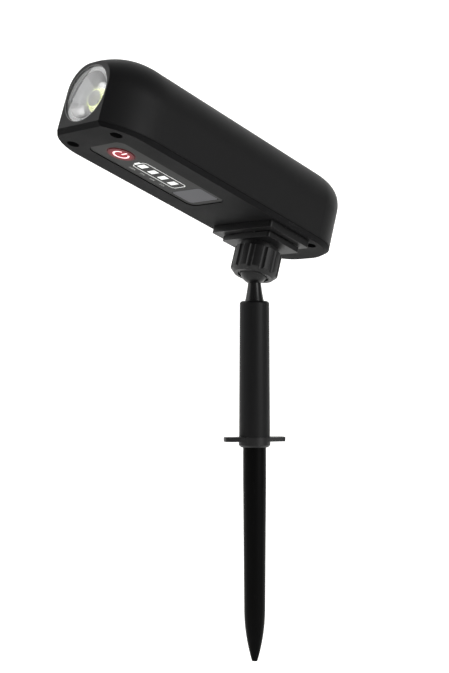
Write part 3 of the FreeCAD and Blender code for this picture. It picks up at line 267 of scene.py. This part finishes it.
# ------------------------------------------------------------------ printed signs
# The signs are windows left in the black print behind the acrylic, lit from behind. The button
# has an on-off sign, and the panel a battery outline, its four bars and their percentages. Each
# is a thin milky layer in the acrylic's face. All sizes are in the head's millimetres.
PRINT_THICK = 0.04
SIGN_RADIUS, SIGN_LINE, SIGN_GAP = 4.1, 1.0, 70.0
SIGN_BAR_FROM, SIGN_BAR_PAST = 0.6, 0.8
GAUGE_LINE = 0.45
BARS, BAR_HALF, BAR_THICK = (-47.7, -55.25, -62.8, -70.35), 3.0, 3.8
BATTERY_FRONT, BATTERY_REAR, BATTERY_HALF, BATTERY_CORNER = -44.3, -76.0, 5.4, 2.2
CAP_AHEAD, CAP_HALF, CAP_THICK = 0.9, 2.2, 1.3
SHARES, SHARE_SIZE, SHARE_FOOT = ("100%", "75%", "50%", "25%"), 2.2, -9.6
PRINT_PATCH = 2.5
WELD = 0.001 * MM


def mesh_points(mesh):
    """All of a mesh's points as one array, a row each."""
    flat = np.empty(len(mesh.vertices) * 3, np.float32)
    mesh.vertices.foreach_get("co", flat)
    return flat.reshape(-1, 3).astype(float)


def lowest(node):
    """The lowest that a node reaches, square to the underside, in the head's millimetres."""
    points = mesh_points(frame["nodes"][node].data)
    return float(((points - HEAD_ORIGIN) @ UP).min() / MM)


def mesh_piece(name, points, faces, material, body):
    """A piece from points and faces, riding on a body. Points closer than WELD are merged, and
    the faces turned outwards."""
    mesh = bpy.data.meshes.new(name)
    mesh.from_pydata(np.asarray(points, float).tolist(), [], [list(face) for face in faces])
    shape = bmesh.new()
    shape.from_mesh(mesh)
    bmesh.ops.remove_doubles(shape, verts=shape.verts, dist=WELD)
    bmesh.ops.dissolve_degenerate(shape, edges=shape.edges, dist=WELD)
    bmesh.ops.recalc_face_normals(shape, faces=shape.faces)
    shape.to_mesh(mesh)
    shape.free()
    mesh.materials.append(material)
    piece = bpy.data.objects.new(name, mesh)
    bpy.context.scene.collection.objects.link(piece)
    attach(piece, body)
    return piece


def ring_faces(rows, across, closed):
    """The quads of a grid of points, numbered row by row, that closes across each row, and from
    the last row to the first if closed. Each quad joins two neighbours to the same two a row on."""
    row, step = np.meshgrid(np.arange(rows if closed else rows - 1), np.arange(across),
                            indexing="ij")
    after, beside = (row + 1) % rows, (step + 1) % across
    quads = [row * across + step, row * across + beside, after * across + beside,
             after * across + step]
    return np.stack(quads, 2).reshape(-1, 4).tolist()


def stroke(path, width, face, closed=False):
    """A flat line along a path of x, y rows, in the head's millimetres. Each row is pushed half the
    width to both sides along the path's own normal, on the face and PRINT_THICK above it."""
    path = np.asarray(path, float)
    run = np.roll(path, -1, 0) - np.roll(path, 1, 0) if closed else np.gradient(path, axis=0)
    run /= np.linalg.norm(run, axis=1)[:, None]
    side = np.stack([-run[:, 1], run[:, 0]], 1) * width / 2
    rim = np.stack([path - side, path + side, path + side, path - side], 1)
    rise = np.array([face, face, face + PRINT_THICK, face + PRINT_THICK])
    points = np.concatenate([rim, np.broadcast_to(rise[None, :, None], (len(path), 4, 1))], 2)
    last = 4 * len(path) - 4
    ends = [] if closed else [[0, 1, 2, 3], [last + 3, last + 2, last + 1, last]]
    return from_head(points.reshape(-1, 3)), ring_faces(len(path), 4, closed) + ends


def arc(middle, radius, first, last, steps):
    """Points on a circle about a middle, from a first to a last angle in degrees."""
    angle = np.radians(np.linspace(first, last, steps))
    return np.stack([middle[0] + radius * np.cos(angle), middle[1] + radius * np.sin(angle)], 1)


def joined(shapes):
    """Several shapes' points and faces as one. Each shape's faces move on by the points of those
    before it."""
    starts = np.cumsum([0] + [len(points) for points, faces in shapes])
    moved = [(np.array(face) + start).tolist()
             for start, (points, faces) in zip(starts, shapes) for face in faces]
    return np.concatenate([points for points, faces in shapes]), moved


def written(words, x, y, size, face):
    """Words as a shape on a face, centred at x with their foot at y. A text object is made a mesh,
    and its x is mirrored, because the panel is read from below."""
    curve = bpy.data.curves.new("words", "FONT")
    curve.body = words
    curve.align_x = "CENTER"
    curve.size = size
    curve.extrude = PRINT_THICK / 2
    holder = bpy.data.objects.new("words", curve)
    bpy.context.scene.collection.objects.link(holder)
    bpy.context.view_layer.update()
    depsgraph = bpy.context.evaluated_depsgraph_get()
    letters = bpy.data.meshes.new_from_object(holder.evaluated_get(depsgraph))
    flat = mesh_points(letters)
    faces = [list(polygon.vertices) for polygon in letters.polygons]
    bpy.data.objects.remove(holder)
    bpy.data.curves.remove(curve)
    bpy.data.meshes.remove(letters)
    height = face + PRINT_THICK / 2 - flat[:, 2]
    return from_head(np.stack([x - flat[:, 0], y + flat[:, 1], height], 1)), faces


def diffusing(name, dark, pale, patch, glow):
    """A material for milky acrylic or print that glows with the given strength, uneven over
    patches of the given size in millimetres. Where no lamp stands behind it, the glow is painted."""
    material, tree, shader, place = new_material(name, IOR=1.49, Roughness=0.4,
                                                 Emission_Strength=glow)
    uneven = add(tree, "ShaderNodeTexNoise", {"Vector": place, "Scale": 1 / (patch * MM),
                                              "Detail": 2.0})
    vary(tree, shader, uneven.outputs["Fac"], dark, pale, lit=True)
    return material


# Half of a print's thickness stands out of the acrylic, so that it shows.
button_face = lowest("power_button") - PRINT_THICK / 2
ring = arc((BUTTON_X, 0.0), SIGN_RADIUS, 90 + SIGN_GAP / 2, 450 - SIGN_GAP / 2, steps=48)
bar = [[BUTTON_X, SIGN_BAR_FROM], [BUTTON_X, SIGN_RADIUS + SIGN_BAR_PAST]]
sign = joined([stroke(ring, SIGN_LINE, button_face), stroke(bar, SIGN_LINE, button_face)])
# The red lamps behind the button tint its white print pink.
pink_print = diffusing("lit_pink_print", "#ffb4c0", "#fff0f2", PRINT_PATCH, glow=0.75)
mesh_piece("button_sign", *sign, pink_print, "button")

panel_face = lowest("control_panel") - PRINT_THICK / 2
corner_front, corner_rear = BATTERY_FRONT - BATTERY_CORNER, BATTERY_REAR + BATTERY_CORNER
corner_half = BATTERY_HALF - BATTERY_CORNER
outline = np.concatenate([
    arc((corner_front, corner_half), BATTERY_CORNER, 0, 90, steps=10),
    arc((corner_rear, corner_half), BATTERY_CORNER, 90, 180, steps=10),
    arc((corner_rear, -corner_half), BATTERY_CORNER, 180, 270, steps=10),
    arc((corner_front, -corner_half), BATTERY_CORNER, 270, 360, steps=10),
])
cap_x = BATTERY_FRONT + CAP_AHEAD
gauge = joined([
    stroke(outline, GAUGE_LINE, panel_face, closed=True),
    stroke([[cap_x, -CAP_HALF], [cap_x, CAP_HALF]], CAP_THICK, panel_face),
] + [stroke([[x, -BAR_HALF], [x, BAR_HALF]], BAR_THICK, panel_face) for x in BARS])
# The outline and the bars are a clear cool white.
white_print = diffusing("lit_white_print", "#d8dad8", "#f0f2f0", PRINT_PATCH, glow=0.25)
mesh_piece("gauge_print", *gauge, white_print, "head")

percentages = joined([written(words, x, SHARE_FOOT, SHARE_SIZE, panel_face)
                      for x, words in zip(BARS, SHARES)])
# No lamp stands behind the percentages, so they are a dull grey with a faint painted glow.
grey_print_painted_glow = diffusing("grey_print_painted_glow", "#8c8d8a", "#9a9b98", PRINT_PATCH, glow=0.08)
mesh_piece("share_print", *percentages, grey_print_painted_glow, "head")

# ------------------------------------------------------------------ charging port and its flap
# A soft rubber flap lies in the panel's rear end, closes the port and swings on its own rear
# edge. Behind it is the port's plated steel shell, soldered to the board.

# Rubber scatters light, which makes the flap an even mid grey, the palest part of the underside.
dress(["port_cover"], moulded("soft_grey_rubber", "#4c4c4f", "#565659", gloss=0.60, rough=0.70,
                              grain=0.6, depth=0.02, shine=0.2))
# Nickel plate is a warm silver and nearly mirrors.
nickel = rolled_metal("bright_nickel", "#b7b4ad", "#cfccc5", gloss=0.15, rough=0.28, streak=0.8)
dress(["charge_port"], nickel)

# ------------------------------------------------------------------ light guide and lamps
# One clear acrylic moulding with frosted faces carries four lamps' light down to the panel's four
# bars. The lamps hang under the board, and two more stand beside the button's switch.

# Frosting spreads the light, so guide and lamps glow an even bluish white.
frosted = diffusing("frosted_clear_acrylic", "#d9dce0", "#f4f6f8", patch=0.8, glow=0.9)
dress(["light_guide", "gauge_leds", "button_leds"], frosted)

# ------------------------------------------------------------------ circuit board and switch
# The board is glass fibre under green solder resist, screwed to the cover's standoffs. A push
# switch hangs under it, above the button, and the switch's nylon plunger rides on the button.

# Solder resist is a thin lacquer, so the board's green has a low even gloss.
dress(["main_board"], moulded("green_solder_resist", "#0d3a1c", "#124a26", gloss=0.30, rough=0.40,
                              grain=0.7, depth=0.02))
dress(["board_screws"], zinc_steel)
# The switch's glass-filled housing is a dull near-black.
dress(["power_switch"], moulded("glass_filled_black_nylon", "#151515", "#1c1c1c", gloss=0.40,
                                rough=0.50, grain=0.8, depth=0.01))
# Nylon without pigment is a warm ivory.
dress(["switch_plunger"], moulded("natural_nylon", "#d8d6cc", "#e2e0d8", gloss=0.40, rough=0.50,
                                  grain=0.8, depth=0.01))

# ------------------------------------------------------------------ battery
# Two cells in film sleeves lie side by side in a moulded ABS tray over the board, between plated
# end contacts. A woven band holds them down, and two wires run to the board.

# The tray is a plain charcoal grey, without the housings' finish.
dress(["battery_tray"], moulded("charcoal_abs", "#101010", "#181818", gloss=0.50, rough=0.60,
                                grain=0.8, depth=0.02))
# Shrunk film is glossy, and blue.
dress(["battery_cells"], moulded("blue_shrink_film", "#123a78", "#184a92", gloss=0.18, rough=0.26,
                                 grain=1.0, depth=0.01))
dress(["battery_contacts"], nickel)
# Silicone insulation keeps the wires a soft-glossed red.
red_silicone = moulded("red_silicone_sleeve", "#8f1512", "#a51b16", gloss=0.40, rough=0.50,
                       grain=0.8, depth=0.01)
dress(["battery_leads"], red_silicone)
# The band's weave shows as a deep dull grain.
dress(["cell_strap"], moulded("woven_polyester", "#0c0c0d", "#161617", gloss=0.70, rough=0.80,
                              grain=0.9, depth=0.05))

# ------------------------------------------------------------------ emitter and heat sink
# The emitter is a disc of yellow phosphor on a white metal-core board behind the lens. The board
# lies on a finned aluminium heat sink that two screws hold to the shell. Two wires feed it.
dress(["led_leads"], red_silicone)
dress(["heat_sink_screws"], zinc_steel)
# Aluminium is a neutral pale grey with the die's faint streaks.
dress(["heat_sink"], rolled_metal("extruded_aluminium", "#a9abad", "#c0c2c4", gloss=0.30,
                                  rough=0.45, streak=1.2))
# The white lacquer is given a painted yellow-green glow for the phosphor's light that it catches,
# and with the phosphor it fills the lens's edge with yellow-green.
board_lacquer = moulded("white_board_lacquer_painted_glow", "#d8d9d6", "#e4e5e2", gloss=0.35, rough=0.45,
                        grain=0.8, depth=0.01)
phosphor = moulded("yellow_phosphor", "#d6cf3a", "#e3dd57", gloss=0.30, rough=0.40, grain=0.5,
                   depth=0.01)
for material, glow, strength in ((board_lacquer, "#ecf79a", 1.1), (phosphor, "#eaff70", 1.6)):
    shader = material.node_tree.nodes["Principled BSDF"]
    shader.inputs["Emission Color"].default_value = linear(glow)
    shader.inputs["Emission Strength"].default_value = strength
dress(["led_board"], board_lacquer)
dress(["led_emitter"], phosphor)

# ------------------------------------------------------------------ lens
# The optic is moulded clear acrylic. Its slanted wall sends the emitter's light forward by total
# reflection, so from the front it looks silvered. It lies on a milky seal in a black ring, and
# all sizes are in the head's millimetres.
LENS_HEIGHT = 20.9
WALL_FRONT, WALL_FRONT_RADIUS = -3.1, 13.4
WALL_REAR, WALL_REAR_RADIUS = -17.2, 6.5
WALL_GAP, WALL_THICK, WALL_FLUTES, FLUTE_SWELL = 0.1, 0.4, 60, 0.3
WALL_ROWS = 12
SEAL_FRONT, SEAL_REAR, SEAL_BORE, SEAL_RIM = -3.05, -3.55, 13.6, 15.85
STREAKS, STREAK_DEPTH, STREAK_FADE = 12.0, 0.14 * MM, 0.3
HAZE = 3 * MM


def spun(profile, turns, flutes=0, swell=0.0):
    """A closed profile of x, radius rows in the head's millimetres, turned about the lens axis. The
    radius swells outwards by up to the given amount, in as many waves round as there are flutes."""
    profile = np.asarray(profile, float)
    angle = np.linspace(0, 2 * math.pi, turns, endpoint=False)
    radius = profile[:, 1:] + swell * (1 + np.cos(flutes * angle)) / 2
    points = np.stack([np.broadcast_to(profile[:, :1], radius.shape), radius * np.cos(angle),
                       LENS_HEIGHT + radius * np.sin(angle)], 2)
    return from_head(points.reshape(-1, 3)), ring_faces(len(profile), turns, closed=True)


def fan_streaks(tree, shader, place):
    """Bumps a surface with fine lines that fan out from the lens axis, only behind the optic's
    front flange. They are noise on the unit vector from the axis, so none changes along its
    radius."""
    centre = from_head([0.0, 0.0, LENS_HEIGHT])
    from_centre = add(tree, "ShaderNodeVectorMath", {0: place, 1: tuple(centre)},
                      operation="SUBTRACT").outputs["Vector"]
    along = add(tree, "ShaderNodeVectorMath", {0: from_centre, 1: tuple(BEAM)},
                operation="DOT_PRODUCT").outputs["Value"]
    shift = add(tree, "ShaderNodeVectorMath", {0: tuple(BEAM), "Scale": along}, operation="SCALE")
    outward = add(tree, "ShaderNodeVectorMath", {0: from_centre, 1: shift.outputs["Vector"]},
                  operation="SUBTRACT")
    unit = add(tree, "ShaderNodeVectorMath", {0: outward.outputs["Vector"]}, operation="NORMALIZE")
    fan = add(tree, "ShaderNodeTexNoise", {"Vector": unit.outputs["Vector"], "Scale": STREAKS,
                                           "Detail": 3.0})
    behind = add(tree, "ShaderNodeMapRange", {"Value": along,
                                              "From Min": (WALL_FRONT - STREAK_FADE) * MM,
                                              "From Max": WALL_FRONT * MM,
                                              "To Min": 1.0, "To Max": 0.0})
    bump = add(tree, "ShaderNodeBump", {"Height": fan.outputs["Fac"], "Distance": STREAK_DEPTH,
                                        "Strength": behind.outputs["Result"]})
    tree.links.new(bump.outputs["Normal"], shader.inputs["Normal"])


# Total reflection is stood for by a bright mirror just outside the wall, with a weak painted glow
# on it. Its haze and its streaks give the soft bright sectors and dark gaps that a real one shows.
silvered, tree, shader, place = new_material("totally_reflecting_acrylic_painted_glow", Metallic=1.0,
                                             Emission_Strength=0.1)
haze = add(tree, "ShaderNodeTexNoise", {"Vector": place, "Scale": 1 / HAZE, "Detail": 3.0})
vary(tree, shader, haze.outputs["Fac"], "#dadcde", "#f4f5f6", gloss=0.08, rough=0.2)
fan_streaks(tree, shader, place)
inner_wall = (np.linspace((WALL_REAR, WALL_REAR_RADIUS), (WALL_FRONT, WALL_FRONT_RADIUS), WALL_ROWS)
              + (0.0, WALL_GAP))
outer_wall = inner_wall[::-1] + (0.0, WALL_THICK)
fluted = spun(np.concatenate([inner_wall, outer_wall]), turns=480, flutes=WALL_FLUTES,
              swell=FLUTE_SWELL)
wall = mesh_piece("collimator_wall", *fluted, silvered, "head")

# Clear acrylic shows the wall and the emitter through it, bent by the bead in its middle.
clear, tree, shader, place = new_material("clear_acrylic", IOR=1.49, Roughness=0.02,
                                          Transmission_Weight=1.0)
fan_streaks(tree, shader, place)
dress(["lens_optic"], clear)
# The ring is polished, so it holds one thin sharp highlight round the lens.
dress(["lens_bezel"], moulded("gloss_black_abs", "#030303", "#060606", gloss=0.12, rough=0.18,
                              grain=1.0, depth=0.004, shine=0.5))

# Milky silicone lights up behind the clear flange and makes its pale rim.
milky_silicone = moulded("milky_silicone", "#d0d1d2", "#e0e1e2", gloss=0.40, rough=0.50,
                         grain=0.6, depth=0.01)
flat_ring = spun([[SEAL_FRONT, SEAL_BORE], [SEAL_FRONT, SEAL_RIM], [SEAL_REAR, SEAL_RIM],
                  [SEAL_REAR, SEAL_BORE]], turns=128)
seal = mesh_piece("milky_seal", *flat_ring, milky_silicone, "head")
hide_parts("lens_seal")
dress(["lens_seal"], hard_rubber)

# ------------------------------------------------------------------ cover screws
# Four zinc-plated steel screws with pan heads and cross recesses, deep in wells of the underside,
# pull the cover up to the shell's bosses. Sizes are in the head's millimetres.
WELLS = ((-12.5, 18.0), (-12.5, -18.0), (-166.0, 20.0), (-166.0, -20.0))
PAN_RADIUS, PAN_HEIGHT, DOME = 2.75, 2.0, 0.5
SHANK_RADIUS, SHANK_LENGTH = 1.45, 9.5
SLOT_HALF, SLOT_REACH, SLOT_DEPTH = 0.42, 1.75, 1.1
SLOT_WALL, SLOT_END = 0.15, 0.5
FACE_ROWS, AROUND = 26, 64


def screw(x, y, face):
    """A pan head whose face bulges by a parabola, sunk by a straight-walled step inside two crossed
    slots, then its rim, and a plain shank up to its end."""
    angle = np.linspace(0, 2 * math.pi, AROUND, endpoint=False)
    spread = np.linspace(0.0, PAN_RADIUS, FACE_ROWS)
    end = PAN_HEIGHT + SHANK_LENGTH
    radius = np.concatenate([spread, [PAN_RADIUS, SHANK_RADIUS, SHANK_RADIUS, 0.0]])
    rise = np.concatenate([DOME * (spread / PAN_RADIUS) ** 2,
                           [PAN_HEIGHT, PAN_HEIGHT, end, end]])
    u, v = radius[:, None] * np.cos(angle), radius[:, None] * np.sin(angle)
    narrow, long = np.minimum(abs(u), abs(v)), np.maximum(abs(u), abs(v))
    inside = (np.clip((SLOT_HALF - narrow) / SLOT_WALL, 0, 1)
              * np.clip((SLOT_REACH - long) / SLOT_END, 0, 1))
    inside[FACE_ROWS:] = 0
    points = np.stack([x + u, y + v, face + rise[:, None] + SLOT_DEPTH * inside], 2)
    return from_head(points.reshape(-1, 3)), ring_faces(len(radius), AROUND, closed=False)


dress(["cover_screws"], zinc_steel)
screw_face = lowest("cover_screws")
screws = mesh_piece("cross_recess_screws", *joined([screw(x, y, screw_face) for x, y in WELLS]),
                    zinc_steel, "head")
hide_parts("cover_screws")

# ------------------------------------------------------------------ camera
# It stands at the lamp's left front, level with the pole, and looks a degree or two upwards
# through a portrait lens, so that the head's underside shows.
CAMERA_PLACE = Vector((0.5467, 0.5342, 0.0398))
CAMERA_AIM = Vector((0.0118, -0.0130, 0.0612))
camera = bpy.data.objects.new("camera", bpy.data.cameras.new("camera"))
camera.data.lens = 70.0
camera.data.sensor_width = 36.0
camera.location = CAMERA_PLACE
camera.rotation_euler = (CAMERA_AIM - CAMERA_PLACE).to_track_quat("-Z", "Y").to_euler()
bpy.context.scene.collection.objects.link(camera)
bpy.context.scene.camera = camera

# ------------------------------------------------------------------ paper sweep
# White studio paper lies just under the spike's point and curves up behind the lamp. Its profile
# is two straight runs joined by a quarter circle, square to the camera's line of sight.
FLOOR_GAP = 0.003
FLOOR = cad_low.z - FLOOR_GAP
NEAR_EDGE, BEND_START, BEND_RADIUS, TOP_EDGE, HALF_WIDTH = 1.6, -0.9, 0.5, 2.4, 2.5
FIBRE = 60 * MM
turn = np.linspace(0.0, math.pi / 2, 25)
profile = np.concatenate([
    [[NEAR_EDGE, FLOOR]],
    np.stack([BEND_START - BEND_RADIUS * np.sin(turn),
              FLOOR + BEND_RADIUS * (1 - np.cos(turn))], 1),
    [[BEND_START - BEND_RADIUS, FLOOR + TOP_EDGE]],
])
across = np.array([-HALF_WIDTH, HALF_WIDTH])
toward = np.array(CAMERA_PLACE.xy.normalized())
aside = np.array([-toward[1], toward[0]])
grid = np.zeros((len(profile), 2, 3))
grid[..., :2] = profile[:, None, :1] * toward + across[None, :, None] * aside
grid[..., 2] = profile[:, None, 1]
rows = np.arange(len(profile) - 1) * 2
quads = np.stack([rows, rows + 1, rows + 3, rows + 2], 1)
sweep_mesh = bpy.data.meshes.new("studio_sweep")
sweep_mesh.from_pydata(grid.reshape(-1, 3).tolist(), [], quads.tolist())
sweep_mesh.shade_smooth()
# Paper is dull and hardly shaded, and some light through it from behind keeps it white.
paper, tree, shader, place = new_material("studio_paper", Roughness=0.9, Emission_Strength=0.7)
fibres = add(tree, "ShaderNodeTexNoise", {"Vector": place, "Scale": 1 / FIBRE, "Detail": 2.0})
vary(tree, shader, fibres.outputs["Fac"], "#f3f3f2", "#f7f7f6", lit=True)
sweep_mesh.materials.append(paper)
sweep = bpy.data.objects.new("studio_sweep", sweep_mesh)
bpy.context.scene.collection.objects.link(sweep)

# ------------------------------------------------------------------ lights
# Three square softboxes light the lamp from the front, the left and above, and a pale room adds a
# weak even light all round. Each softbox has its place, its aim, its size and its power in watts.
SOFTBOXES = (
    ("front_softbox", (0.75, -0.79, 0.63), (0.12, 0.0, 0.17), 0.8, 5.0),
    ("left_softbox", (-0.05, 1.4, 0.35), (0.05, 0.0, 0.12), 0.5, 8.5),
    ("roof_softbox", (-0.2, -0.3, 1.3), (0.0, 0.0, 0.1), 1.2, 2.0),
)
for name, stand, aim, size, power in SOFTBOXES:
    lamp = bpy.data.lights.new(name, "AREA")
    lamp.size = size
    lamp.energy = power
    softbox = bpy.data.objects.new(name, lamp)
    softbox.location = stand
    softbox.rotation_euler = (Vector(aim) - Vector(stand)).to_track_quat("-Z", "Y").to_euler()
    bpy.context.scene.collection.objects.link(softbox)

room = bpy.data.worlds.new("studio_room")
room.use_nodes = True
room.node_tree.nodes["Background"].inputs["Color"].default_value = linear("#ffffff")
room.node_tree.nodes["Background"].inputs["Strength"].default_value = 0.25
bpy.context.scene.world = room
bpy.context.scene.view_settings.view_transform = "Standard"
